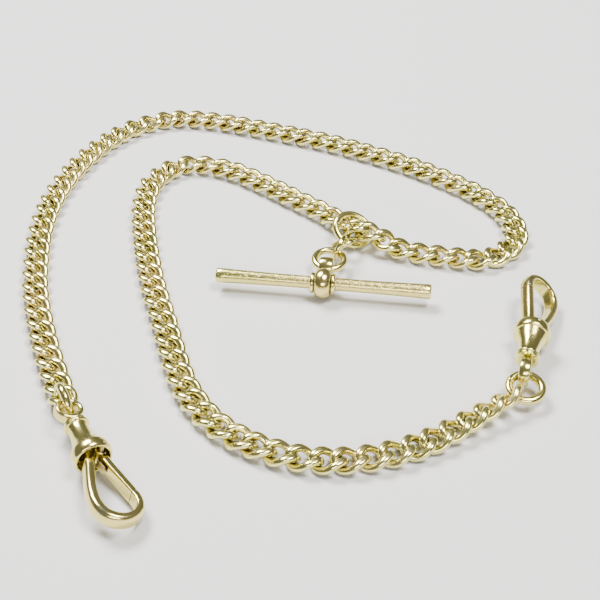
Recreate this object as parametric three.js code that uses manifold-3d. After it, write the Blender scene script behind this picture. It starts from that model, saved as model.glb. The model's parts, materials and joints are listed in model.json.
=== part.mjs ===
// A gentleman's double Albert: a pocket watch chain of twisted curb links with a swivel clip at
// each end, and a T-bar hung from a ring part way along. It lies on a flat surface, z = 0.
// Lengths are millimetres. +X is to the right, +Y away from the wearer's side and +Z up.

import * as THREE from "three";
import { mergeVertices } from "three/addons/utils/BufferGeometryUtils.js";
import Module from "manifold-3d";

const wasm = await Module();
wasm.setup();

const degrees = (angle) => (angle * Math.PI) / 180;

// ---------------------------------------------------------------- driving dimensions

const LINK_PITCH = 3.18; // from one joint of the chain to the next
const SECTION_LINKS = 4;
const END_SECTION_LINKS = 5;
const CHAIN_LINKS = 114;
const LINK_HALF_LENGTH = 2.15; // of the wire's centreline
const LINK_HALF_WIDTH = 1.69;
const LINK_WIRE = 0.61; // radius, out to the corners of the four-sided wire
const LINK_TWIST = Math.PI / 4; // at each end, so that the chain lies flat
const LINK_SIDES = 4;
const LINK_STEPS = 8;
const END_ROLL = degrees(-39); // of the last link, which stands up to take the end ring
const SECTION_SLACK = 0.13; // how far a section's end links reach out, to swing freely

const RING_SIDES = 8;
const RING_STEPS = 16;
const END_RING = { radius: 2.4, wire: 0.56 };
const CENTRE_RING = { radius: 3.06, wire: 0.52 };
const DROP_LINK = { radius: 1.92, wire: 0.43 };
const T_RING = { radius: 2.4, wire: 0.53 };

const ROUTE_STEPS = 60; // between two points of the route
const ORIGIN = new THREE.Vector3(-3.108, 151.696, 0.01); // the layout's middle, before it is centred

// The route of the chain's centre, from the left clip round to the right clip: x, y, z.
const ROUTE = [
  [-32.9, 120.8, 1.94], [-34.2, 124.0, 1.27], [-37.2, 131.8, 1.2], [-39.7, 139.3, 1.2],
  [-41.8, 147.0, 1.2], [-43.1, 154.9, 1.2], [-43.9, 162.8, 1.2], [-43.9, 170.7, 1.2],
  [-42.8, 178.6, 1.2], [-40.5, 186.2, 1.2], [-37.0, 193.4, 1.2], [-32.0, 199.5, 1.2],
  [-24.9, 203.0, 1.2], [-17.1, 202.3, 1.2], [-9.5, 199.8, 1.2], [-2.0, 197.0, 1.2],
  [5.3, 194.0, 1.2], [12.3, 190.3, 1.2], [19.2, 186.2, 1.2], [25.5, 181.4, 1.2],
  [31.3, 175.9, 1.2], [35.6, 169.3, 1.2], [36.1, 161.4, 1.2], [30.7, 156.2, 1.2],
  [23.0, 157.2, 1.2], [19.9, 157.9, 1.2], [16.58, 158.8, 1.23], [13.6, 160.12, 2.57],
  [10.75, 161.81, 3.04], [8.73, 163.97, 2.03], [6.79, 166.42, 1.56], [4.93, 169.06, 1.33],
  [-1.0, 174.4, 1.2], [-7.1, 179.8, 1.2], [-13.7, 184.5, 1.2],
  [-21.5, 185.8, 1.2], [-26.5, 179.9, 1.2], [-27.3, 171.9, 1.2], [-26.4, 163.9, 1.2],
  [-25.0, 155.9, 1.2], [-23.2, 148.0, 1.2], [-21.0, 140.3, 1.2], [-18.9, 132.4, 1.2],
  [-16.4, 124.8, 1.2], [-12.2, 117.9, 1.2], [-5.8, 113.0, 1.2], [1.8, 110.5, 1.2],
  [9.8, 111.0, 1.2], [17.3, 113.8, 1.2], [24.0, 118.3, 1.5], [30.75, 123.08, 2.1],
];

// ---------------------------------------------------------------- solids

const GOLD = { color: 0xd8c878, roughness: 0.28, metalness: 1 };
const STEEL = { color: 0x9a9a98, roughness: 0.4, metalness: 1 };

function bareGeometry(geometry) {
  const bare = geometry.clone();
  bare.deleteAttribute("normal");
  bare.deleteAttribute("uv");
  return mergeVertices(bare, 1e-5);
}

function toSolid(geometry) {
  const bare = bareGeometry(geometry);
  const mesh = new wasm.Mesh({
    numProp: 3,
    vertProperties: new Float32Array(bare.attributes.position.array),
    triVerts: new Uint32Array(bare.index.array),
  });
  return new wasm.Manifold(mesh);
}

function toGeometry(solid) {
  const mesh = solid.getMesh();
  const geometry = new THREE.BufferGeometry();
  geometry.setAttribute("position", new THREE.BufferAttribute(mesh.vertProperties, 3));
  geometry.setIndex(new THREE.BufferAttribute(mesh.triVerts, 1));
  return geometry;
}

function join(geometries) {
  return toGeometry(geometries.map(toSolid).reduce((whole, piece) => whole.add(piece)));
}

function cut(geometry, tool) {
  return toGeometry(toSolid(geometry).subtract(toSolid(tool)));
}

const object = new THREE.Group();
object.position.copy(ORIGIN).negate();

function addMesh(parent, name, geometry, finish = GOLD) {
  const mesh = new THREE.Mesh(bareGeometry(geometry), new THREE.MeshStandardMaterial(finish));
  mesh.name = name;
  parent.add(mesh);
  return mesh;
}

// A body turned about +X from a closed profile of [x, radius] points.
function turned(profile, segments = 12) {
  const points = profile.map(([x, radius]) => new THREE.Vector2(radius, x));
  return new THREE.LatheGeometry(points, segments).rotateZ(-Math.PI / 2);
}

// A rod along +Z, for pins and the holes that they go through.
function rod(radius, length) {
  return new THREE.CylinderGeometry(radius, radius, length, 12).rotateX(Math.PI / 2);
}

// ---------------------------------------------------------------- chain

// One link: a ring drawn out to an oval, then twisted end to end.
function curbLink() {
  const geometry = new THREE.TorusGeometry(LINK_HALF_LENGTH, LINK_WIRE, LINK_SIDES, LINK_STEPS);
  const at = geometry.attributes.position;
  const lengthwise = new THREE.Vector3(1, 0, 0);
  for (let i = 0; i < at.count; i++) {
    const angle = Math.atan2(at.getY(i), at.getX(i));
    const outward = LINK_HALF_LENGTH - Math.hypot(at.getX(i), at.getY(i));
    const along = LINK_HALF_LENGTH * Math.cos(angle);
    const across = LINK_HALF_WIDTH * Math.sin(angle);
    const normal = new THREE.Vector2(Math.cos(angle) / LINK_HALF_LENGTH, Math.sin(angle) / LINK_HALF_WIDTH);
    normal.normalize().multiplyScalar(outward);
    const point = new THREE.Vector3(along + normal.x, across + normal.y, -at.getZ(i));
    point.applyAxisAngle(lengthwise, -LINK_TWIST * Math.cos(angle));
    at.setXYZ(i, point.x, point.y, point.z);
  }
  return geometry;
}

// The joints between links: points one pitch apart along the route.
function chainJoints() {
  const corners = ROUTE.map(([x, y, z]) => new THREE.Vector3(x, y, z));
  const curve = new THREE.CatmullRomCurve3(corners, false, "catmullrom", 0.5);
  const track = curve.getPoints((ROUTE.length - 1) * ROUTE_STEPS);
  const joints = [track[0]];
  for (let i = 1; i < track.length && joints.length <= CHAIN_LINKS; i++) {
    const reach = joints.at(-1).distanceTo(track[i]);
    if (reach < LINK_PITCH) continue;
    const reachBefore = joints.at(-1).distanceTo(track[i - 1]);
    const share = (LINK_PITCH - reachBefore) / (reach - reachBefore);
    joints.push(track[i - 1].clone().lerp(track[i], share));
  }
  return joints;
}

// The frame at a joint, or at a link's middle: X along the chain and Z as near to up as it can be.
function frameAlong(from, to, origin) {
  const x = to.clone().sub(from).normalize();
  const y = new THREE.Vector3(0, 0, 1).cross(x).normalize();
  const z = x.clone().cross(y);
  return new THREE.Matrix4().makeBasis(x, y, z).setPosition(origin);
}

// A run of links, each through the next. They are one body here, which bends at its ends.
function chainSection(name, joints, roll = 0) {
  const home = frameAlong(joints[0], joints[1], joints[0]);
  const links = [];
  for (let i = 0; i + 1 < joints.length; i++) {
    const slack = (i + 2 === joints.length ? SECTION_SLACK : 0) - (i === 0 ? SECTION_SLACK : 0);
    const middle = joints[i].clone().lerp(joints[i + 1], 0.5 + slack / LINK_PITCH);
    const place = frameAlong(joints[i], joints[i + 1], middle).premultiply(home.clone().invert());
    links.push(curbLink().rotateX((roll * i) / (joints.length - 2)).applyMatrix4(place));
  }
  const mesh = addMesh(object, name, join(links));
  mesh.applyMatrix4(home);
  return mesh;
}

const joints = chainJoints();
const sectionStarts = [0];
for (let i = END_SECTION_LINKS; i < CHAIN_LINKS - SECTION_LINKS; i += SECTION_LINKS) {
  sectionStarts.push(i);
}
sectionStarts.forEach((start, i) => {
  const end = sectionStarts[i + 1] ?? CHAIN_LINKS;
  const roll = end === CHAIN_LINKS ? END_ROLL : 0;
  const number = String(i + 1).padStart(2, "0");
  chainSection(`chain_section_${number}`, joints.slice(start, end + 1), roll);
});

// ---------------------------------------------------------------- rings

// A round ring of wire. tilt lifts its far side, and heading turns it about the vertical.
function wireRing(name, { radius, wire }, [x, y, z], tilt, heading) {
  const mesh = addMesh(object, name, new THREE.TorusGeometry(radius, wire, RING_SIDES, RING_STEPS));
  mesh.rotation.set(tilt, 0, heading, "ZXY");
  mesh.position.set(x, y, z);
  return mesh;
}

wireRing("left_end_ring", END_RING, [-32.66, 119.77, 2.99], degrees(90), degrees(-62));
wireRing("right_end_ring", END_RING, [31.93, 123.82, 2.17], degrees(10), 0);
wireRing("centre_ring", CENTRE_RING, [8.86, 163.42, 2.12], degrees(31.2), degrees(40.2));
wireRing("drop_link_1", DROP_LINK, [7.24, 160.0, 1.76], degrees(32.5), degrees(220.3));
wireRing("drop_link_2", DROP_LINK, [6.47, 157.45, 2.59], degrees(72.3), degrees(249));
wireRing("t_ring", T_RING, [4.75, 154.7, 2.2], degrees(5), 0);

// ---------------------------------------------------------------- swivel clips

// A clip's own +X runs from the eye's centre to the hook's end, and its gate is on the +Y side.
const HOOK_DEPTH = 2.3;
const HOOK_WIDTH = 1.4;
const GATE_DEPTH = 2.1;
const GATE_PIN = { x: 9.1, y: 1.05, radius: 0.35, length: 4.6 };
const RUNNING_GAP = 0.09;
const SPRING_DEPTH = 1.2;

// Turned body: a lip, a narrow neck and a bell that ends in the shoulder ring. It is open at the
// bell, and bored at the lip for the eye's stem.
const BARREL_PROFILE = [
  [2.5, 0.68], [2.5, 1.5], [2.75, 1.8], [3.2, 1.8], [3.45, 1.52], [5.0, 1.5], [6.4, 1.75],
  [8.0, 2.4], [8.4, 2.75], [9.2, 2.8], [9.75, 2.55], [9.75, 2.3], [8.5, 2.25], [6.5, 1.05],
  [4.2, 1.05], [4.2, 0.68], [2.5, 0.68],
];

// The hook's centreline, from inside the bell down the fixed leg and round to the gate's tip.
const HOOK_PATH = [
  [8.7, -1.0], [10.3, -1.15], [12.2, -1.7], [14.2, -2.35], [16.1, -2.8], [17.9, -2.95], [19.6, -2.5],
  [20.7, -1.4], [21.1, 0.1], [20.7, 1.5], [19.7, 2.5], [18.3, 2.85], [17.2, 2.75],
];

const GATE_OUTLINE = [
  [8.5, 1.0], [8.6, 0.6], [9.1, 0.3], [10.6, 0.55], [12.8, 1.05], [15.0, 1.55], [17.0, 1.95],
  [17.0, 3.4], [15.0, 2.95], [12.8, 2.45], [10.6, 1.95], [9.3, 1.8], [8.8, 1.5],
];

const EYE_BAND = [
  [-0.8, 1.25], [-0.8, 1.85], [-0.6, 2.05], [0.6, 2.05], [0.8, 1.85], [0.8, 1.25], [-0.8, 1.25],
];
const EYE_STEM = [[1.6, 0], [1.6, 0.52], [5.2, 0.52], [5.2, 0.85], [5.6, 0.85], [5.6, 0]];
const WASHER = [[4.5, 0.62], [4.5, 0.95], [4.9, 0.95], [4.9, 0.62], [4.5, 0.62]];
const LEAF_SPRING = [[10.4, 0.1], [12.0, 0.45], [12.0, 0.65], [10.4, 0.3]];

function plate(outline, depth) {
  const shape = new THREE.Shape(outline.map(([x, y]) => new THREE.Vector2(x, y)));
  const geometry = new THREE.ExtrudeGeometry(shape, { depth, bevelEnabled: false });
  return geometry.translate(0, 0, -depth / 2);
}

function pinHole() {
  return rod(GATE_PIN.radius + RUNNING_GAP, 8).translate(GATE_PIN.x, GATE_PIN.y, 0);
}

// A rod with a flat inner face and a rounded back: x is its depth and y its width.
function hookSection(depth, width) {
  const shape = new THREE.Shape();
  shape.moveTo(depth / 2, width / 2);
  shape.lineTo(-depth / 2, width / 2);
  shape.absellipse(0, 0, depth / 2, width / 2, Math.PI, 2 * Math.PI);
  shape.closePath();
  return shape;
}

function hookGeometry() {
  const path = new THREE.CatmullRomCurve3(HOOK_PATH.map(([x, y]) => new THREE.Vector3(x, y, 0)));
  const options = { steps: 22, curveSegments: 6, extrudePath: path };
  return new THREE.ExtrudeGeometry(hookSection(HOOK_DEPTH, HOOK_WIDTH), options);
}

function eyeGeometry() {
  const band = turned(EYE_BAND, 16).rotateY(Math.PI / 2);
  return join([band, turned(EYE_STEM)]);
}

function swivelClip(side, { at, heading, pitch, roll, eyeRoll }) {
  const clip = new THREE.Group();
  clip.position.set(...at);
  clip.rotation.set(roll, -pitch, heading, "ZYX");
  object.add(clip);
  const pin = rod(GATE_PIN.radius, GATE_PIN.length).translate(GATE_PIN.x, GATE_PIN.y, 0);
  addMesh(clip, `${side}_barrel`, cut(turned(BARREL_PROFILE, 16), pinHole()));
  addMesh(clip, `${side}_hook`, hookGeometry());
  addMesh(clip, `${side}_gate`, cut(plate(GATE_OUTLINE, GATE_DEPTH), pinHole()));
  addMesh(clip, `${side}_gate_pin`, pin, STEEL);
  addMesh(clip, `${side}_gate_spring`, plate(LEAF_SPRING, SPRING_DEPTH), STEEL);
  addMesh(clip, `${side}_swivel_washer`, turned(WASHER));
  addMesh(clip, `${side}_eye`, eyeGeometry().rotateX(eyeRoll));
}

swivelClip("left", {
  at: [-31.62, 117.6, 3.5],
  heading: degrees(-62),
  pitch: degrees(-3.7),
  roll: degrees(-18),
  eyeRoll: degrees(18),
});
swivelClip("right", {
  at: [32.1, 126.38, 2.9],
  heading: degrees(74.5),
  pitch: degrees(0.6),
  roll: degrees(42),
  eyeRoll: degrees(48),
});

// ---------------------------------------------------------------- T-bar

const BAR_HALF = 17.1;
const BEAD_RADIUS = 2.45;
const BAR_EYE_REACH = 4.6; // from the bar's middle

const BAR_PROFILE = [
  [-BAR_HALF, 0], [-BAR_HALF, 1.0], [0.25 - BAR_HALF, 1.2], [-8, 1.02],
  [8, 1.02], [BAR_HALF - 0.25, 1.2], [BAR_HALF, 1.0], [BAR_HALF, 0],
];
const BEAD_PROFILE = [
  [-1.3, 1.12], [-1.3, 1.7], [-0.9, 2.2], [0, BEAD_RADIUS], [0.9, 2.2], [1.3, 1.7], [1.3, 1.12],
  [-1.3, 1.12],
];
const COLLAR_PROFILE = [[1.55, 1.14], [1.55, 1.9], [2.1, 1.75], [2.1, 1.14], [1.55, 1.14]];
const BAR_EYE_BAND = [
  [-1.1, 1.12], [-1.1, 1.65], [-0.8, 1.8], [0.8, 1.8], [1.1, 1.65], [1.1, 1.12], [-1.1, 1.12],
];
const BAR_EYE_STEM = { radius: 0.55, length: 1.7, socket: 0.7 };

// A rod along +Y from the bar, whose middle is at the distance given.
function crossRod(radius, length, distance) {
  return rod(radius, length).rotateX(-Math.PI / 2).translate(0, distance, 0);
}

function tBar(at, heading, eyeRise) {
  const bar = new THREE.Group();
  bar.position.set(...at);
  bar.rotation.z = heading;
  object.add(bar);
  const rise = new THREE.Matrix4().makeRotationX(eyeRise);
  const socket = crossRod(BAR_EYE_STEM.socket, 2.6, 2.2).applyMatrix4(rise);
  const stem = crossRod(BAR_EYE_STEM.radius, BAR_EYE_STEM.length, 2.25);
  const band = turned(BAR_EYE_BAND, 16).translate(0, BAR_EYE_REACH, 0);
  const collar = turned(COLLAR_PROFILE);
  addMesh(bar, "t_bar_rod", turned(BAR_PROFILE));
  addMesh(bar, "t_bar_bead", cut(turned(BEAD_PROFILE, 16), socket));
  addMesh(bar, "t_bar_left_collar", collar.clone().rotateZ(Math.PI));
  addMesh(bar, "t_bar_right_collar", collar);
  addMesh(bar, "t_bar_eye", join([band, stem]).applyMatrix4(rise));
}

tBar([3.6, 148.0, BEAD_RADIUS + 0.01], Math.atan2(-4.5, 34), degrees(-4));

export default object;
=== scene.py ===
# %% [markdown]
# # A watch chain in Blender
# The object is a gentleman's watch chain: twisted curb links of yellow gold, a swivel clip at
# each end, and a T-bar that hangs from a ring part way along. The fixed frame says where each
# piece is and what it moves with. Everything here is dressed onto that frame, in metres.

import json
import math

import bmesh
import bpy
import numpy as np
from mathutils import Matrix, Vector


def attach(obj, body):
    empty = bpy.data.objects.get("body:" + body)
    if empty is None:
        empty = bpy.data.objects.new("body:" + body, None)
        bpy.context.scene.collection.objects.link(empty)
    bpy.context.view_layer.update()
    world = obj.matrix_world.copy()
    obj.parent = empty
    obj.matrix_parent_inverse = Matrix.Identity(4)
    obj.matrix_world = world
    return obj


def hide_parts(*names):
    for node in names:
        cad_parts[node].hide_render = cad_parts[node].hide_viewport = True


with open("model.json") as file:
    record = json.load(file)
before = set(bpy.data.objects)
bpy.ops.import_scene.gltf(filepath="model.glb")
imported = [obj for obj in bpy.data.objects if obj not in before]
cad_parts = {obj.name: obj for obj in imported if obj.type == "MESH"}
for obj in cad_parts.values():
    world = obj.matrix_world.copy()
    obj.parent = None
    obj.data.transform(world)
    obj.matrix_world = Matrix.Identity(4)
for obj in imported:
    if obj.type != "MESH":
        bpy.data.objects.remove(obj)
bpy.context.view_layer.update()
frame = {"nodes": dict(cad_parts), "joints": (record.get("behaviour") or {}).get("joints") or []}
MM = 0.001  # sizes below are in mm, and the frame is in metres
joints = {joint["name"]: joint for joint in frame["joints"]}

# %% [markdown]
# ## The camera
# The chain lies flat and is seen from the front, from about 38 degrees above the surface. A long
# lens keeps the far loops nearly as large as the near ones.

# %% Camera
CAMERA_PLACE = Vector((3.108, -151.696, 113.92)) * MM
CAMERA_DIP = math.radians(37.8)

camera = bpy.data.objects.new("camera", bpy.data.cameras.new("camera"))
camera.location = CAMERA_PLACE
camera.rotation_euler = (math.pi / 2 - CAMERA_DIP, 0, 0)
camera.data.lens = 70.5
camera.data.sensor_width = 36
camera.data.clip_start = 0.01
bpy.context.scene.collection.objects.link(camera)
bpy.context.scene.camera = camera
print("camera:", camera.data.lens, "mm lens, tilted down", round(math.degrees(CAMERA_DIP), 1), "degrees")

# %% [markdown]
# ## Effects that the golds share
# Four effects go on the gold: broad drifts of tone, fine scratches from years in a pocket, a bright
# polish where it rubs together with painted shade in the hollows where little light reaches, and small
# knocks and pits. Each is one node group with its own inputs, so that every finish below can choose how
# strong the effect is.

# %% A helper that builds a node group
def node_group(name, inputs, outputs):
    group = bpy.data.node_groups.new(name, "ShaderNodeTree")
    for label, kind, value in inputs:
        socket = group.interface.new_socket(label, in_out="INPUT", socket_type=kind)
        socket.default_value = value
    for label, kind in outputs:
        group.interface.new_socket(label, in_out="OUTPUT", socket_type=kind)
    return group, group.nodes.new("NodeGroupInput"), group.nodes.new("NodeGroupOutput")


def add_node(tree, kind, **settings):
    node = tree.nodes.new(kind)
    for key, value in settings.items():
        setattr(node, key, value)
    return node


def remap(tree, source, low, high, to_low=0.0, to_high=1.0):
    node = add_node(tree, "ShaderNodeMapRange", interpolation_type="SMOOTHSTEP")
    for socket, value in zip(node.inputs[1:5], (low, high, to_low, to_high)):
        socket.default_value = value
    tree.links.new(source, node.inputs[0])
    return node.outputs[0]


def math_node(tree, operation, *values):
    node = add_node(tree, "ShaderNodeMath", operation=operation)
    for socket, value in zip(node.inputs, values):
        if isinstance(value, (int, float)):
            socket.default_value = value
        else:
            tree.links.new(value, socket)
    return node.outputs[0]


# %% Tone: broad patches, some warmer and some greener
def tone_group():
    group, given, result = node_group(
        "tone_drift",
        [("Patches per metre", "NodeSocketFloat", 120.0)],
        [("Mask", "NodeSocketFloat")],
    )
    place = add_node(group, "ShaderNodeTexCoord")
    noise = add_node(group, "ShaderNodeTexNoise")
    noise.inputs["Detail"].default_value = 4
    group.links.new(place.outputs["Object"], noise.inputs["Vector"])
    group.links.new(given.outputs["Patches per metre"], noise.inputs["Scale"])
    mask = remap(group, noise.outputs["Fac"], low=0.35, high=0.68)
    group.links.new(mask, result.inputs["Mask"])
    return group


# %% Scratches: hairlines that run two ways, as from wiping and from a pocket's lining
SCRATCH_TURNS = ((0.3, 0.1, 0.6), (1.1, 0.7, -0.9))
SCRATCH_STRETCH = (1.0, 14.0, 14.0)


def scratch_group():
    group, given, result = node_group(
        "pocket_scratches",
        [("Fineness", "NodeSocketFloat", 900.0), ("Strength", "NodeSocketFloat", 1.0)],
        [("Mask", "NodeSocketFloat"), ("Height", "NodeSocketFloat")],
    )
    place = add_node(group, "ShaderNodeTexCoord")
    layers = []
    for turn in SCRATCH_TURNS:
        turned_place = add_node(group, "ShaderNodeMapping")
        turned_place.inputs["Rotation"].default_value = turn
        turned_place.inputs["Scale"].default_value = SCRATCH_STRETCH
        noise = add_node(group, "ShaderNodeTexNoise")
        noise.inputs["Detail"].default_value = 2
        group.links.new(place.outputs["Object"], turned_place.inputs["Vector"])
        group.links.new(turned_place.outputs["Vector"], noise.inputs["Vector"])
        group.links.new(given.outputs["Fineness"], noise.inputs["Scale"])
        layers.append(remap(group, noise.outputs["Fac"], low=0.60, high=0.72))
    both = math_node(group, "MAXIMUM", *layers)
    mask = math_node(group, "MULTIPLY", both, given.outputs["Strength"])
    group.links.new(mask, result.inputs["Mask"])
    group.links.new(math_node(group, "MULTIPLY", mask, -1.0), result.inputs["Height"])
    return group


# %% Wear and painted shade: polish on what stands out, and painted shade in what doesn't
def wear_group():
    group, given, result = node_group(
        "rubbed_and_painted_shade",
        [("Hollow shade reach", "NodeSocketFloat", 0.0012), ("Hollow shade strength", "NodeSocketFloat", 1.0)],
        [("Rubbed", "NodeSocketFloat"), ("Painted hollow shade", "NodeSocketFloat")],
    )
    shape = add_node(group, "ShaderNodeNewGeometry")
    rubbed = remap(group, shape.outputs["Pointiness"], low=0.50, high=0.58)
    group.links.new(rubbed, result.inputs["Rubbed"])
    # Ambient occlusion darkens the hollows between links and parts. This is painted shade, which noise
    # breaks into patches below.
    shade = add_node(group, "ShaderNodeAmbientOcclusion", samples=6)
    group.links.new(given.outputs["Hollow shade reach"], shade.inputs["Distance"])
    hidden = remap(group, shade.outputs["AO"], low=0.62, high=0.12)
    place = add_node(group, "ShaderNodeTexCoord")
    breakup = add_node(group, "ShaderNodeTexNoise")
    breakup.inputs["Scale"].default_value = 1400
    breakup.inputs["Detail"].default_value = 3
    group.links.new(place.outputs["Object"], breakup.inputs["Vector"])
    patchy = remap(group, breakup.outputs["Fac"], low=0.25, high=0.60, to_low=0.55)
    patchy_hollow_shade = math_node(group, "MULTIPLY", hidden, patchy)
    painted_hollow_shade = math_node(group, "MULTIPLY", patchy_hollow_shade, given.outputs["Hollow shade strength"])
    group.links.new(painted_hollow_shade, result.inputs["Painted hollow shade"])
    return group


# %% Dents: soft low spots from knocks, and fine pits where the metal is worn
def dent_group():
    group, given, result = node_group(
        "knocks_and_pits",
        [("Knocks per metre", "NodeSocketFloat", 420.0), ("Pits per metre", "NodeSocketFloat", 3200.0),
         ("Pit depth", "NodeSocketFloat", 0.3)],
        [("Height", "NodeSocketFloat"), ("Pits", "NodeSocketFloat")],
    )
    place = add_node(group, "ShaderNodeTexCoord")
    knocks = add_node(group, "ShaderNodeTexNoise")
    knocks.inputs["Detail"].default_value = 1
    pits = add_node(group, "ShaderNodeTexVoronoi")
    for node, scale in ((knocks, "Knocks per metre"), (pits, "Pits per metre")):
        group.links.new(place.outputs["Object"], node.inputs["Vector"])
        group.links.new(given.outputs[scale], node.inputs["Scale"])
    pit = remap(group, pits.outputs["Distance"], low=0.34, high=0.10)
    pit = math_node(group, "MULTIPLY", pit, given.outputs["Pit depth"])
    height = math_node(group, "SUBTRACT", knocks.outputs["Fac"], pit)
    group.links.new(height, result.inputs["Height"])
    group.links.new(pit, result.inputs["Pits"])
    return group


tone_drift = tone_group()
pocket_scratches = scratch_group()
rubbed_and_painted_shade = wear_group()
knocks_and_pits = dent_group()
print("effects:", [group.name for group in bpy.data.node_groups])

# %% [markdown]
# ## The golds
# All of the metal is a pale yellow gold. The links get the most painted shade between them. The clips and
# rings are smoother and brighter. The bar is finely pitted, and the springs, pins and washers are
# duller, because nobody polishes them.

# %% One gold, from its colours and the strength of each effect
GREEN_GOLD = (0.80, 0.73, 0.22, 1)
WARM_GOLD = (0.84, 0.69, 0.24, 1)
WORN_GOLD = (0.96, 0.91, 0.48, 1)
DULL_YELLOW = (0.55, 0.46, 0.20, 1)
DULL_BROWN = (0.60, 0.45, 0.20, 1)
# Dark brown: grime in the pits, and painted shade in the hollows
GRIME_AND_SHADE = (0.07, 0.045, 0.012, 1)

RUBBED_SHARE = 0.6
PIT_GRIME_SHARE = 0.5
ADDED_ROUGHNESS = {"scratch": 0.16, "tone": 0.05, "rubbed": -0.05, "painted_hollow_shade": 0.35}
SCRATCH_RELIEF = 0.25
RELIEF_DEPTH = 0.00008  # metres


def blend_colours(tree, mask, first, second):
    node = add_node(tree, "ShaderNodeMix", data_type="RGBA")
    tree.links.new(mask, node.inputs["Factor"])
    for socket, value in ((node.inputs[6], first), (node.inputs[7], second)):
        if isinstance(value, tuple):
            socket.default_value = value
        else:
            tree.links.new(value, socket)
    return node.outputs[2]


def gold(name, cool, warm, roughness, scratches, hollow_shade_strength, pit_depth, bump):
    material = bpy.data.materials.new(name)
    material.use_nodes = True
    tree = material.node_tree
    shader = tree.nodes["Principled BSDF"]
    shader.inputs["Metallic"].default_value = 1.0
    effects = {}
    for group, values in (
        (tone_drift, {}),
        (pocket_scratches, {"Strength": scratches}),
        (rubbed_and_painted_shade, {"Hollow shade strength": hollow_shade_strength}),
        (knocks_and_pits, {"Pit depth": pit_depth}),
    ):
        node = add_node(tree, "ShaderNodeGroup", node_tree=group)
        for label, value in values.items():
            node.inputs[label].default_value = value
        effects[group.name] = node.outputs
    masks = {
        "scratch": effects["pocket_scratches"]["Mask"],
        "tone": effects["tone_drift"]["Mask"],
        "rubbed": effects["rubbed_and_painted_shade"]["Rubbed"],
        "painted_hollow_shade": effects["rubbed_and_painted_shade"]["Painted hollow shade"],
    }
    worn = math_node(tree, "MULTIPLY", masks["rubbed"], RUBBED_SHARE)
    pitted = math_node(tree, "MULTIPLY", effects["knocks_and_pits"]["Pits"], PIT_GRIME_SHARE)
    colour = blend_colours(tree, masks["tone"], cool, warm)
    colour = blend_colours(tree, worn, colour, WORN_GOLD)
    colour = blend_colours(tree, pitted, colour, GRIME_AND_SHADE)
    # Painted shade: the hollows are darkened toward the dark colour by the occlusion mask
    colour = blend_colours(tree, masks["painted_hollow_shade"], colour, GRIME_AND_SHADE)
    tree.links.new(colour, shader.inputs["Base Color"])
    rough = roughness
    for effect, added in ADDED_ROUGHNESS.items():
        rough = math_node(tree, "MULTIPLY_ADD", masks[effect], added, rough)
    tree.links.new(rough, shader.inputs["Roughness"])
    scratch_height = effects["pocket_scratches"]["Height"]
    knock_height = effects["knocks_and_pits"]["Height"]
    relief = math_node(tree, "MULTIPLY_ADD", scratch_height, SCRATCH_RELIEF, knock_height)
    bumps = add_node(tree, "ShaderNodeBump")
    bumps.inputs["Strength"].default_value = bump
    bumps.inputs["Distance"].default_value = RELIEF_DEPTH
    tree.links.new(relief, bumps.inputs["Height"])
    tree.links.new(bumps.outputs["Normal"], shader.inputs["Normal"])
    return material


# %% The four finishes
link_gold = gold("link_gold", GREEN_GOLD, WARM_GOLD,
                 roughness=0.20, scratches=0.5, hollow_shade_strength=1.0, pit_depth=0.10, bump=0.14)
fitting_gold = gold("fitting_gold", GREEN_GOLD, WARM_GOLD,
                    roughness=0.15, scratches=0.5, hollow_shade_strength=0.8, pit_depth=0.06, bump=0.12)
bar_gold = gold("bar_gold", GREEN_GOLD, WARM_GOLD,
                roughness=0.22, scratches=0.35, hollow_shade_strength=0.8, pit_depth=0.9, bump=0.45)
dull_gold = gold("dull_gold", DULL_YELLOW, DULL_BROWN,
                 roughness=0.34, scratches=1.0, hollow_shade_strength=1.0, pit_depth=0.4, bump=0.6)
print("finishes:", [finish.name for finish in (link_gold, fitting_gold, bar_gold, dull_gold)])

# %% [markdown]
# ## Making pieces
# Almost every piece of a watch chain is either turned on a lathe or bent from wire, so two ways of
# making a surface are enough: spin a profile about a line, or carry a section along a path. Both
# are grids of points that wrap round, which `skin` turns into a mesh.

# %% A mesh from rings of points, and the piece that it becomes
def skin(rings, closed_path):
    """Faces over rings of points, as one grid. An open path gets a flat cap at each end."""
    count, around = len(rings), len(rings[0])
    faces = []
    for i in range(count if closed_path else count - 1):
        for k in range(around):
            a, b = i * around, ((i + 1) % count) * around
            faces.append((a + k, b + k, b + (k + 1) % around, a + (k + 1) % around))
    if not closed_path:
        faces.append(tuple(range(around)))
        faces.append(tuple(reversed(range((count - 1) * around, count * around))))
    return np.concatenate(rings), faces


def merge(shells):
    """Several shells as one list of points and faces."""
    points, faces, start = [], [], 0
    for shell_points, shell_faces in shells:
        points.append(np.asarray(shell_points))
        faces += [tuple(start + k for k in face) for face in shell_faces]
        start += len(shell_points)
    return np.concatenate(points), faces


def tidy_normals(mesh):
    """Turns every face outwards and shades the mesh smooth."""
    work = bmesh.new()
    work.from_mesh(mesh)
    bmesh.ops.recalc_face_normals(work, faces=work.faces)
    work.to_mesh(mesh)
    work.free()
    mesh.polygons.foreach_set("use_smooth", [True] * len(mesh.polygons))


BEVEL_STEPS = 3
BEVEL_ANGLE = math.radians(28)


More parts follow.
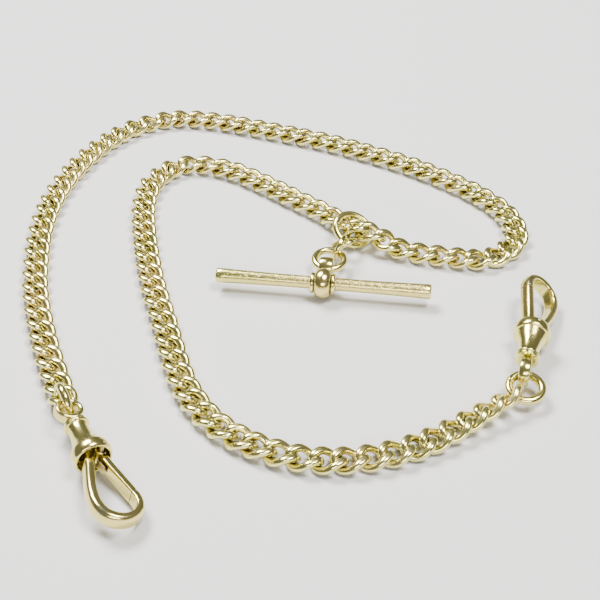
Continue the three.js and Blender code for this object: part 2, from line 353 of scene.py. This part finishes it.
def add_piece(name, shell, place, body, nodes, material, bevel=0.0):
    """A smooth piece from points in mm, in its own frame, that rides on a body of the chain."""
    points, faces = shell
    mesh = bpy.data.meshes.new(name)
    mesh.from_pydata([tuple(point * MM) for point in points], [], faces)
    mesh.transform(place)
    mesh.validate()
    piece = bpy.data.objects.new(name, mesh)
    bpy.context.scene.collection.objects.link(piece)
    tidy_normals(mesh)
    mesh.materials.append(material)
    if bevel:
        rounding = piece.modifiers.new("rounded edges", "BEVEL")
        rounding.width = bevel * MM
        rounding.segments = BEVEL_STEPS
        rounding.limit_method = "ANGLE"
        rounding.angle_limit = BEVEL_ANGLE
        rounding.harden_normals = True
    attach(piece, body)
    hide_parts(*nodes)


# %% A curve through points, and profiles spun about X
AROUND = 72


def through(points, steps):
    """A Catmull-Rom curve through points, with a few steps between each two."""
    points = np.asarray(points, float)
    padded = np.vstack([2 * points[0] - points[1], points, 2 * points[-1] - points[-2]])
    t = (np.arange(steps) / steps)[:, None]
    curve = []
    for a, b, c, d in zip(padded, padded[1:], padded[2:], padded[3:]):
        curve.append(0.5 * (2 * b + (c - a) * t + (2 * a - 5 * b + 4 * c - d) * t**2
                            + (3 * b - a - 3 * c + d) * t**3))
    curve.append(points[-1:])
    return np.vstack(curve)


def circle(steps):
    """Angles all the way round, with the last one short of the first."""
    return np.linspace(0, 2 * np.pi, steps, endpoint=False)


def turned(profile):
    """A closed profile of (x, radius) points spun about X. The radius is never zero."""
    x, radius = np.asarray(profile, float).T
    rings = [np.column_stack([x, radius * math.cos(a), radius * math.sin(a)]) for a in circle(AROUND)]
    return skin(rings, closed_path=True)


def turned_solid(profile):
    """The same for a solid rod: the profile is open and each end is closed with a small flat."""
    angles = circle(AROUND)
    rings = [np.column_stack([np.full(AROUND, x), radius * np.cos(angles), radius * np.sin(angles)])
             for x, radius in profile]
    return skin(rings, closed_path=False)


def rolled(points, angle):
    """Points turned about X."""
    x, y, z = points.T
    across = y * math.cos(angle) - z * math.sin(angle)
    up = y * math.sin(angle) + z * math.cos(angle)
    return np.column_stack([x, across, up])


# %% [markdown]
# ## The chain
# A curb link is a ring that was drawn out to an oval and then twisted, so that the chain lies flat
# instead of turning every second link on edge. The tops were filed a little once the chain was
# made, which gives each link its broad bright face. The route is the one that the frame uses, so
# every link sits where the frame's sections are.

# %% The link's shape, in mm
LINK_PITCH = 3.18
LINK_HALF_LENGTH = 2.20
LINK_HALF_WIDTH = 1.63
LINK_WIRE = 0.615
LINK_TWIST = math.radians(45)
TWIST_REACH = 0.8
FILED_FROM = 0.85
FILED_TO = 1.15
LINK_STEPS = 56
WIRE_STEPS = 20


def filed(height):
    """Heights beyond FILED_FROM are pressed towards FILED_TO, as a file flattens the crowns."""
    spare = FILED_TO - FILED_FROM
    over = np.maximum(np.abs(height) - FILED_FROM, 0)
    return np.sign(height) * (np.minimum(np.abs(height), FILED_FROM) + spare * np.tanh(over / spare))


def curb_link(roll):
    """One link along X, as rings of points round its wire."""
    rings = []
    for angle in circle(LINK_STEPS):
        centre = np.array([LINK_HALF_LENGTH * math.cos(angle), LINK_HALF_WIDTH * math.sin(angle)])
        normal = np.array([math.cos(angle) / LINK_HALF_LENGTH, math.sin(angle) / LINK_HALF_WIDTH])
        normal /= np.linalg.norm(normal)
        round_wire = circle(WIRE_STEPS)
        x = centre[0] + normal[0] * LINK_WIRE * np.cos(round_wire)
        y = centre[1] + normal[1] * LINK_WIRE * np.cos(round_wire)
        z = LINK_WIRE * np.sin(round_wire)
        twist = -LINK_TWIST * math.tanh(TWIST_REACH * math.cos(angle)) / math.tanh(TWIST_REACH)
        section = rolled(np.column_stack([x, y, z]), twist)
        section[:, 2] = filed(section[:, 2])
        rings.append(rolled(section, roll))
    return skin(rings, closed_path=True)


# %% The route: from the left clip round to the right clip, in mm
LAYOUT_MIDDLE = np.array([-3.108, 151.696, 0.01])
ROUTE = np.array([
    [-32.9, 120.8, 1.94], [-34.2, 124.0, 1.27], [-37.2, 131.8, 1.2], [-39.7, 139.3, 1.2],
    [-41.8, 147.0, 1.2], [-43.1, 154.9, 1.2], [-43.9, 162.8, 1.2], [-43.9, 170.7, 1.2],
    [-42.8, 178.6, 1.2], [-40.5, 186.2, 1.2], [-37.0, 193.4, 1.2], [-32.0, 199.5, 1.2],
    [-24.9, 203.0, 1.2], [-17.1, 202.3, 1.2], [-9.5, 199.8, 1.2], [-2.0, 197.0, 1.2],
    [5.3, 194.0, 1.2], [12.3, 190.3, 1.2], [19.2, 186.2, 1.2], [25.5, 181.4, 1.2],
    [31.3, 175.9, 1.2], [35.6, 169.3, 1.2], [36.1, 161.4, 1.2], [30.7, 156.2, 1.2],
    [23.0, 157.2, 1.2], [19.9, 157.9, 1.2], [16.58, 158.8, 1.23], [13.6, 160.12, 2.57],
    [10.75, 161.81, 3.04], [8.73, 163.97, 2.03], [6.79, 166.42, 1.56], [4.93, 169.06, 1.33],
    [-1.0, 174.4, 1.2], [-7.1, 179.8, 1.2], [-13.7, 184.5, 1.2],
    [-21.5, 185.8, 1.2], [-26.5, 179.9, 1.2], [-27.3, 171.9, 1.2], [-26.4, 163.9, 1.2],
    [-25.0, 155.9, 1.2], [-23.2, 148.0, 1.2], [-21.0, 140.3, 1.2], [-18.9, 132.4, 1.2],
    [-16.4, 124.8, 1.2], [-12.2, 117.9, 1.2], [-5.8, 113.0, 1.2], [1.8, 110.5, 1.2],
    [9.8, 111.0, 1.2], [17.3, 113.8, 1.2], [24.0, 118.3, 1.5], [30.75, 123.08, 2.1],
])
CHAIN_LINKS = 114
SECTION_LINKS = 4
END_SECTION_LINKS = 5
SECTION_SLACK = 0.13
END_ROLL = math.radians(-39)


def chain_joints():
    """Points one pitch apart along the route."""
    track = through(ROUTE, steps=60)
    found = [track[0]]
    for before, here in zip(track, track[1:]):
        reach = np.linalg.norm(here - found[-1])
        if reach < LINK_PITCH or len(found) > CHAIN_LINKS:
            continue
        reach_before = np.linalg.norm(before - found[-1])
        share = (LINK_PITCH - reach_before) / (reach - reach_before)
        found.append(before + (here - before) * share)
    return np.array(found) - LAYOUT_MIDDLE


def axes_along(start, end):
    """X along the chain, and Z as near to up as it can be."""
    x = (end - start) / np.linalg.norm(end - start)
    y = np.cross([0, 0, 1], x)
    y /= np.linalg.norm(y)
    return np.column_stack([x, y, np.cross(x, y)])


# %% The links, section by section
chain = chain_joints()
starts = [0, *range(END_SECTION_LINKS, CHAIN_LINKS - SECTION_LINKS, SECTION_LINKS)]
for number, start in enumerate(starts, 1):
    end = (starts + [CHAIN_LINKS])[number]
    node = f"chain_section_{number:02d}"
    links = []
    for i in range(start, end):
        slack = SECTION_SLACK * ((i == end - 1) - (i == start))
        middle = chain[i] + (chain[i + 1] - chain[i]) * (0.5 + slack / LINK_PITCH)
        axes = axes_along(chain[i], chain[i + 1])
        roll = END_ROLL * (i - start) / (end - 1 - start) if end == CHAIN_LINKS else 0
        points, faces = curb_link(roll)
        links.append((points @ axes.T + middle, faces))
    add_piece(f"links_{number:02d}", merge(links), Matrix(), node, [node], link_gold)
print("links:", len(chain) - 1, "in", len(starts), "sections")

# %% [markdown]
# ## The rings and drop links
# Each ring is round wire, bent into a circle and closed with solder. The join shows as a slight
# swelling. A ring's middle and the way that it faces come from its own node in the frame.

# %% Where a ring is
def ring_frame(node):
    points = np.array([vertex.co for vertex in frame["nodes"][node].data.vertices], float)
    middle = points.mean(0)
    directions = np.linalg.svd(points - middle, full_matrices=False)[2]
    axes = np.column_stack([directions[0], np.cross(directions[2], directions[0]), directions[2]])
    return Matrix.Translation(Vector(middle)) @ Matrix(axes.tolist()).to_4x4()


# %% A ring of round wire, with its soldered join
RING_STEPS = 112
RING_WIRE_STEPS = 28
SOLDER_SWELL = 0.05
SOLDER_ANGLE = 0.6
SOLDER_SPREAD = 0.07
WIRE_UNEVENNESS = 0.006


def wire_ring(radius, wire):
    round_wire = circle(RING_WIRE_STEPS)
    rings = []
    for angle in circle(RING_STEPS):
        solder = SOLDER_SWELL * math.exp(-((angle - SOLDER_ANGLE) / SOLDER_SPREAD) ** 2)
        thick = wire * (1 + solder) + WIRE_UNEVENNESS * math.sin(3 * angle + 1)
        out = radius + thick * np.cos(round_wire)
        up = thick * np.sin(round_wire)
        rings.append(np.column_stack([out * math.cos(angle), out * math.sin(angle), up]))
    return skin(rings, closed_path=True)


# %% All six of them: the radius to the wire's middle, and the wire's own radius, in mm
RING_SIZES = {
    "left_end_ring": (2.38, 0.60), "right_end_ring": (2.38, 0.60), "centre_ring": (3.02, 0.56),
    "drop_link_1": (1.92, 0.43), "drop_link_2": (1.92, 0.43), "t_ring": (2.38, 0.56),
}
for node, (radius, wire) in RING_SIZES.items():
    add_piece(f"{node}_wire", wire_ring(radius, wire), ring_frame(node), node, [node],
              fitting_gold)
print("rings:", ", ".join(RING_SIZES))

# %% [markdown]
# ## The swivel clips
# Each clip is a turned barrel with a lip at one end and a bell at the other. A hook of D-shaped
# section grows out of the bell, flat on its inside so that a watch's bow sits well. The gate is
# hinged on a pin across the bell and closes against the end of the hook. The eye's stem turns
# freely in the barrel. A clip's own frame comes from two joints: the swivel gives X, and the
# gate's pin gives Z.

# %% Where a clip is
SWIVEL_POINT = 5.0  # mm along the clip's X


def clip_frame(side):
    swivel, gate = joints[f"{side}_clip_swivel"], joints[f"{side}_gate_open"]
    x, z = Vector(swivel["axis"]), Vector(gate["axis"])
    origin = Vector(swivel["pos_m"]) - x * SWIVEL_POINT * MM
    axes = Matrix((x, z.cross(x), z)).transposed()
    return Matrix.Translation(origin) @ axes.to_4x4()


# %% The barrel: lip, waist, bell and shoulder, thin-walled where it is open
def barrel():
    lip = through([(2.60, 1.42), (2.66, 1.64), (2.82, 1.72), (2.98, 1.64), (3.04, 1.52)], 4)
    second_lip = through([(3.08, 1.54), (3.14, 1.72), (3.30, 1.80), (3.46, 1.70), (3.52, 1.50)], 4)
    waist = through([(3.60, 1.46), (4.4, 1.47), (5.4, 1.60), (6.4, 1.82), (7.3, 2.12), (8.0, 2.36)], 6)
    shoulder = through([(8.04, 2.54), (8.20, 2.70), (8.75, 2.79), (9.30, 2.76), (9.66, 2.60),
                        (9.80, 2.38)], 4)
    mouth = [(9.74, 2.24), (9.4, 2.20), (8.5, 2.20)]
    bore = through([(7.9, 1.85), (6.9, 1.25), (6.2, 1.06)], 4)
    back = [(4.2, 1.04), (4.16, 0.68), (2.58, 0.66), (2.54, 0.80), (2.54, 1.30)]
    return turned(np.vstack([lip, second_lip, waist, shoulder, mouth, bore, back]))


# %% The hook: a D-shaped section carried round a path
SECTION_STEPS = 32
HOOK_PATH = [
    (7.5, -0.95), (8.7, -1.0), (10.3, -1.15), (12.2, -1.7), (14.2, -2.35), (16.1, -2.8), (17.9, -2.95),
    (19.6, -2.5), (20.7, -1.4), (21.1, 0.1), (20.7, 1.5), (19.7, 2.5), (18.3, 2.85), (17.2, 2.75),
]


ROUND_POWER = 0.85
FLAT_POWER = 0.34


def d_section(width, depth):
    """Offsets (outwards, sideways) of a bar that is rounded outside and flat inside."""
    cosine, sine = np.cos(circle(SECTION_STEPS)), np.sin(circle(SECTION_STEPS))
    power = np.where(cosine > 0, ROUND_POWER, FLAT_POWER)
    out = np.sign(cosine) * np.abs(cosine) ** power * width / 2
    side = np.sign(sine) * np.abs(sine) ** power * depth / 2
    return out, side


def carried(path, widths, depths, outward=1):
    """A D-section carried along a flat path. outward picks the side that is rounded."""
    along = np.gradient(path, axis=0)
    along /= np.linalg.norm(along, axis=1)[:, None]
    rings = []
    for (x, y), (dx, dy), width, depth in zip(path, along, widths, depths):
        out, side = d_section(width, depth)
        out = out * outward
        rings.append(np.column_stack([x + dy * out, y - dx * out, side]))
    return skin(rings, closed_path=False)


def hook():
    """The bar of the hook, the base that closes the bell, and the stub where the casting was cut."""
    path = through(HOOK_PATH, 6)
    share = np.linspace(0, 1, len(path))
    widths = np.interp(share, [0, 0.25, 0.55, 0.8, 1], [1.35, 1.40, 1.36, 1.18, 1.22])
    depths = np.interp(share, [0, 0.15, 0.6, 1], [2.1, 2.3, 2.28, 2.15])
    base = turned_solid([(7.5, 1.60), (8.0, 2.05), (8.22, 2.04), (8.32, 1.8), (8.40, 1.0), (8.42, 0.2)])
    sprue = turned_solid([(21.5, 0.30), (21.72, 0.28), (21.80, 0.18), (21.82, 0.05)])
    return merge([carried(path, widths, depths), base, sprue])


# %% The gate: a bar from its knuckle on the pin to the seam with the hook
PIN = (9.1, 1.05)


def about_z(shell, x, y):
    """A shell turned about X, stood along Z at (x, y)."""
    points, faces = shell
    return np.column_stack([x - points[:, 2], y + points[:, 1], points[:, 0]]), faces


def gate():
    path = through([(9.3, 1.12), (10.6, 1.28), (12.8, 1.74), (15.0, 2.25), (17.06, 2.70)], 6)
    share = np.linspace(0, 1, len(path))
    widths = np.interp(share, [0, 0.2, 1], [1.15, 1.35, 1.25])
    depths = np.interp(share, [0, 0.2, 1], [1.7, 2.0, 2.14])
    knuckle = turned([(-0.98, 0.40), (-0.98, 0.66), (-0.90, 0.76), (0.90, 0.76), (0.98, 0.66),
                      (0.98, 0.40)])
    return merge([carried(path, widths, depths, outward=-1), about_z(knuckle, *PIN)])


# %% The small parts: pin, leaf spring and washer
def pin():
    half = [(-2.60, 0.12), (-2.56, 0.30), (-2.45, 0.34)]
    other = [(-x, radius) for x, radius in reversed(half)]
    return about_z(turned_solid(half + other), *PIN)


def leaf_spring():
    path = through([(10.4, 0.18), (11.0, 0.26), (11.6, 0.42), (12.0, 0.55)], 5)
    return carried(path, np.full(len(path), 0.14), np.full(len(path), 1.2), outward=-1)


def washer():
    return turned([(4.52, 0.64), (4.52, 0.90), (4.58, 0.95), (4.82, 0.95), (4.88, 0.90), (4.88, 0.64)])


# %% The eye: a rounded band on a stem with a riveted head
def eye_band(inner, outer, half):
    """A band about X, half as wide as half says on each side, with its edges rounded over."""
    middle, edge = (inner + outer) / 2, half * 0.86
    outside = through([(-half, middle), (-edge, outer - 0.12), (0, outer), (edge, outer - 0.12),
                       (half, middle)], 4)
    inside = through([(edge, inner + 0.08), (0, inner), (-edge, inner + 0.08)], 4)
    return turned(np.vstack([outside, inside]))


def clip_eye(roll):
    band = about_z(eye_band(inner=1.25, outer=2.05, half=0.8), 0, 0)
    stem = turned_solid([(1.70, 0.70), (1.95, 0.56), (2.2, 0.52), (5.15, 0.52), (5.2, 0.84), (5.55, 0.84),
                         (5.6, 0.60)])
    points, faces = merge([band, stem])
    return rolled(points, roll), faces


# %% Both clips
CLIP_BEVEL = 0.05
EYE_ROLL = {"left": 0.0, "right": math.radians(48)}
for side, roll in EYE_ROLL.items():
    place = clip_frame(side)
    clip, gate_body, eye_body = f"{side}_clip", f"{side}_gate", f"{side}_eye"
    parts = [
        ("barrel", barrel(), clip, "fittings_gold", fitting_gold, CLIP_BEVEL),
        ("hook", hook(), clip, "fittings_gold", fitting_gold, CLIP_BEVEL),
        ("gate", gate(), gate_body, "fittings_gold", fitting_gold, CLIP_BEVEL),
        ("gate_pin", pin(), clip, "spring_gold", dull_gold, 0.0),
        ("gate_spring", leaf_spring(), gate_body, "spring_gold", dull_gold, 0.0),
        ("swivel_washer", washer(), eye_body, "fittings_gold", dull_gold, 0.0),
        ("eye", clip_eye(roll), eye_body, "fittings_gold", fitting_gold, 0.0),
    ]
    for part, shell, body, slot, material, bevel in parts:
        add_piece(f"{side}_{part}_finished", shell, place, body, [f"{side}_{part}"], material, bevel)
    print(side, "clip:", len(parts), "parts")

# %% [markdown]
# ## The T-bar
# The bar goes through a waistcoat's buttonhole. It is one turned rod, thinner towards the middle,
# with a bead that runs free on it between two collars. The bead carries the eye.

# %% The bar and its fittings, in mm
BAR_HALF = 17.1
EYE_REACH = 4.6
EYE_RISE = math.radians(-4)


def bar_rod():
    ends = [(-BAR_HALF, 0.55), (0.03 - BAR_HALF, 0.90), (0.14 - BAR_HALF, 1.10), (0.40 - BAR_HALF, 1.19)]
    flare = through([(1.2 - BAR_HALF, 1.17), (-12.0, 1.08), (-6.0, 1.02), (0, 1.01)], 5)
    half = np.vstack([ends, flare])
    other = (half * [-1, 1])[::-1][1:]
    return turned_solid(np.vstack([half, other]))


def bead():
    crown = through([(-1.26, 1.62), (-1.15, 1.93), (-0.75, 2.25), (0, 2.44), (0.75, 2.25), (1.15, 1.93),
                     (1.26, 1.62)], 5)
    return turned(np.vstack([[(-1.28, 1.14), (-1.30, 1.40)], crown, [(1.30, 1.40), (1.28, 1.14)]]))


def collar(sign):
    """A collar on the bar's right for a sign of 1, and on its left for -1."""
    profile = [(1.38, 1.15), (1.38, 1.50), (1.46, 1.64), (1.66, 1.70), (1.88, 1.62), (2.0, 1.40),
               (2.02, 1.15)]
    return turned(np.array(profile) * [sign, 1])


def bar_eye():
    """An eye on a stem that runs from the bead, along Y, and dips a little."""
    band = eye_band(inner=1.12, outer=1.8, half=1.1)
    stem_points, stem_faces = turned_solid([(-3.2, 0.54), (-2.6, 0.50), (-2.1, 0.56), (-1.68, 0.80)])
    points, faces = merge([band, (stem_points[:, [1, 0, 2]], stem_faces)])
    return rolled(points + [0, EYE_REACH, 0], EYE_RISE), faces


# %% Put together
bar_turn = joints["bar_turn"]
bar_x = Vector(bar_turn["axis"])
bar_z = Vector((0, 0, 1))
bar_axes = Matrix((bar_x, bar_z.cross(bar_x), bar_z)).transposed()
bar_place = Matrix.Translation(Vector(bar_turn["pos_m"])) @ bar_axes.to_4x4()
for name, shell, body, node, material in (
    ("bar_rod_finished", bar_rod(), "bar", "t_bar_rod", bar_gold),
    ("bar_left_collar_finished", collar(-1), "bar", "t_bar_left_collar", fitting_gold),
    ("bar_right_collar_finished", collar(1), "bar", "t_bar_right_collar", fitting_gold),
    ("bar_bead_finished", bead(), "bar_eye", "t_bar_bead", fitting_gold),
    ("bar_eye_finished", bar_eye(), "bar_eye", "t_bar_eye", fitting_gold),
):
    add_piece(name, shell, bar_place, body, [node], material)
print("bar:", round(2 * BAR_HALF, 1), "mm long")

# %% [markdown]
# ## The surface and the light
# Polished metal is only as good as what it reflects. A pale floor and large soft lamps give the
# gold broad bright bands, and the gaps between the lamps give it the dark ones.

# %% Floor, a hair below the chain so that the two never share a surface
FLOOR_HALF = 3.0
FLOOR_DROP = 0.00005
PALE_GREY = (0.66, 0.65, 0.64, 1)

floor_paint = bpy.data.materials.new("pale_floor")
floor_paint.use_nodes = True
floor_shader = floor_paint.node_tree.nodes["Principled BSDF"]
floor_shader.inputs["Base Color"].default_value = PALE_GREY
floor_shader.inputs["Roughness"].default_value = 0.8
corners = [(FLOOR_HALF * x, FLOOR_HALF * y, -FLOOR_DROP) for x, y in ((-1, -1), (1, -1), (1, 1), (-1, 1))]
floor_mesh = bpy.data.meshes.new("floor")
floor_mesh.from_pydata(corners, [], [(0, 1, 2, 3)])
floor_mesh.materials.append(floor_paint)
floor = bpy.data.objects.new("floor", floor_mesh)
bpy.context.scene.collection.objects.link(floor)
print("floor:", 2 * FLOOR_HALF, "m across")


# %% Lamps and room
def lamp(name, place, size, power, colour=(1, 1, 1)):
    light = bpy.data.lights.new(name, "AREA")
    light.shape = "RECTANGLE"
    light.size, light.size_y = size
    light.energy = power
    light.color = colour
    holder = bpy.data.objects.new(name, light)
    holder.location = place
    holder.rotation_euler = (-Vector(place)).to_track_quat("-Z", "Y").to_euler()
    bpy.context.scene.collection.objects.link(holder)


WARM_WHITE = (1.0, 0.99, 0.97)
COOL_GREY = (0.80, 0.82, 0.86, 1)

lamp("window", place=(-0.25, 0.30, 0.55), size=(0.30, 0.22), power=11.0)
lamp("overhead", place=(0.20, -0.05, 0.60), size=(0.22, 0.22), power=6.0, colour=WARM_WHITE)
lamp("front", place=(0.05, -0.55, 0.30), size=(0.40, 0.10), power=2.0)
room = bpy.data.worlds.new("room")
room.use_nodes = True
backdrop = room.node_tree.nodes["Background"]
backdrop.inputs["Color"].default_value = COOL_GREY
backdrop.inputs["Strength"].default_value = 0.22
bpy.context.scene.world = room
print("lamps:", [light.name for light in bpy.data.lights])
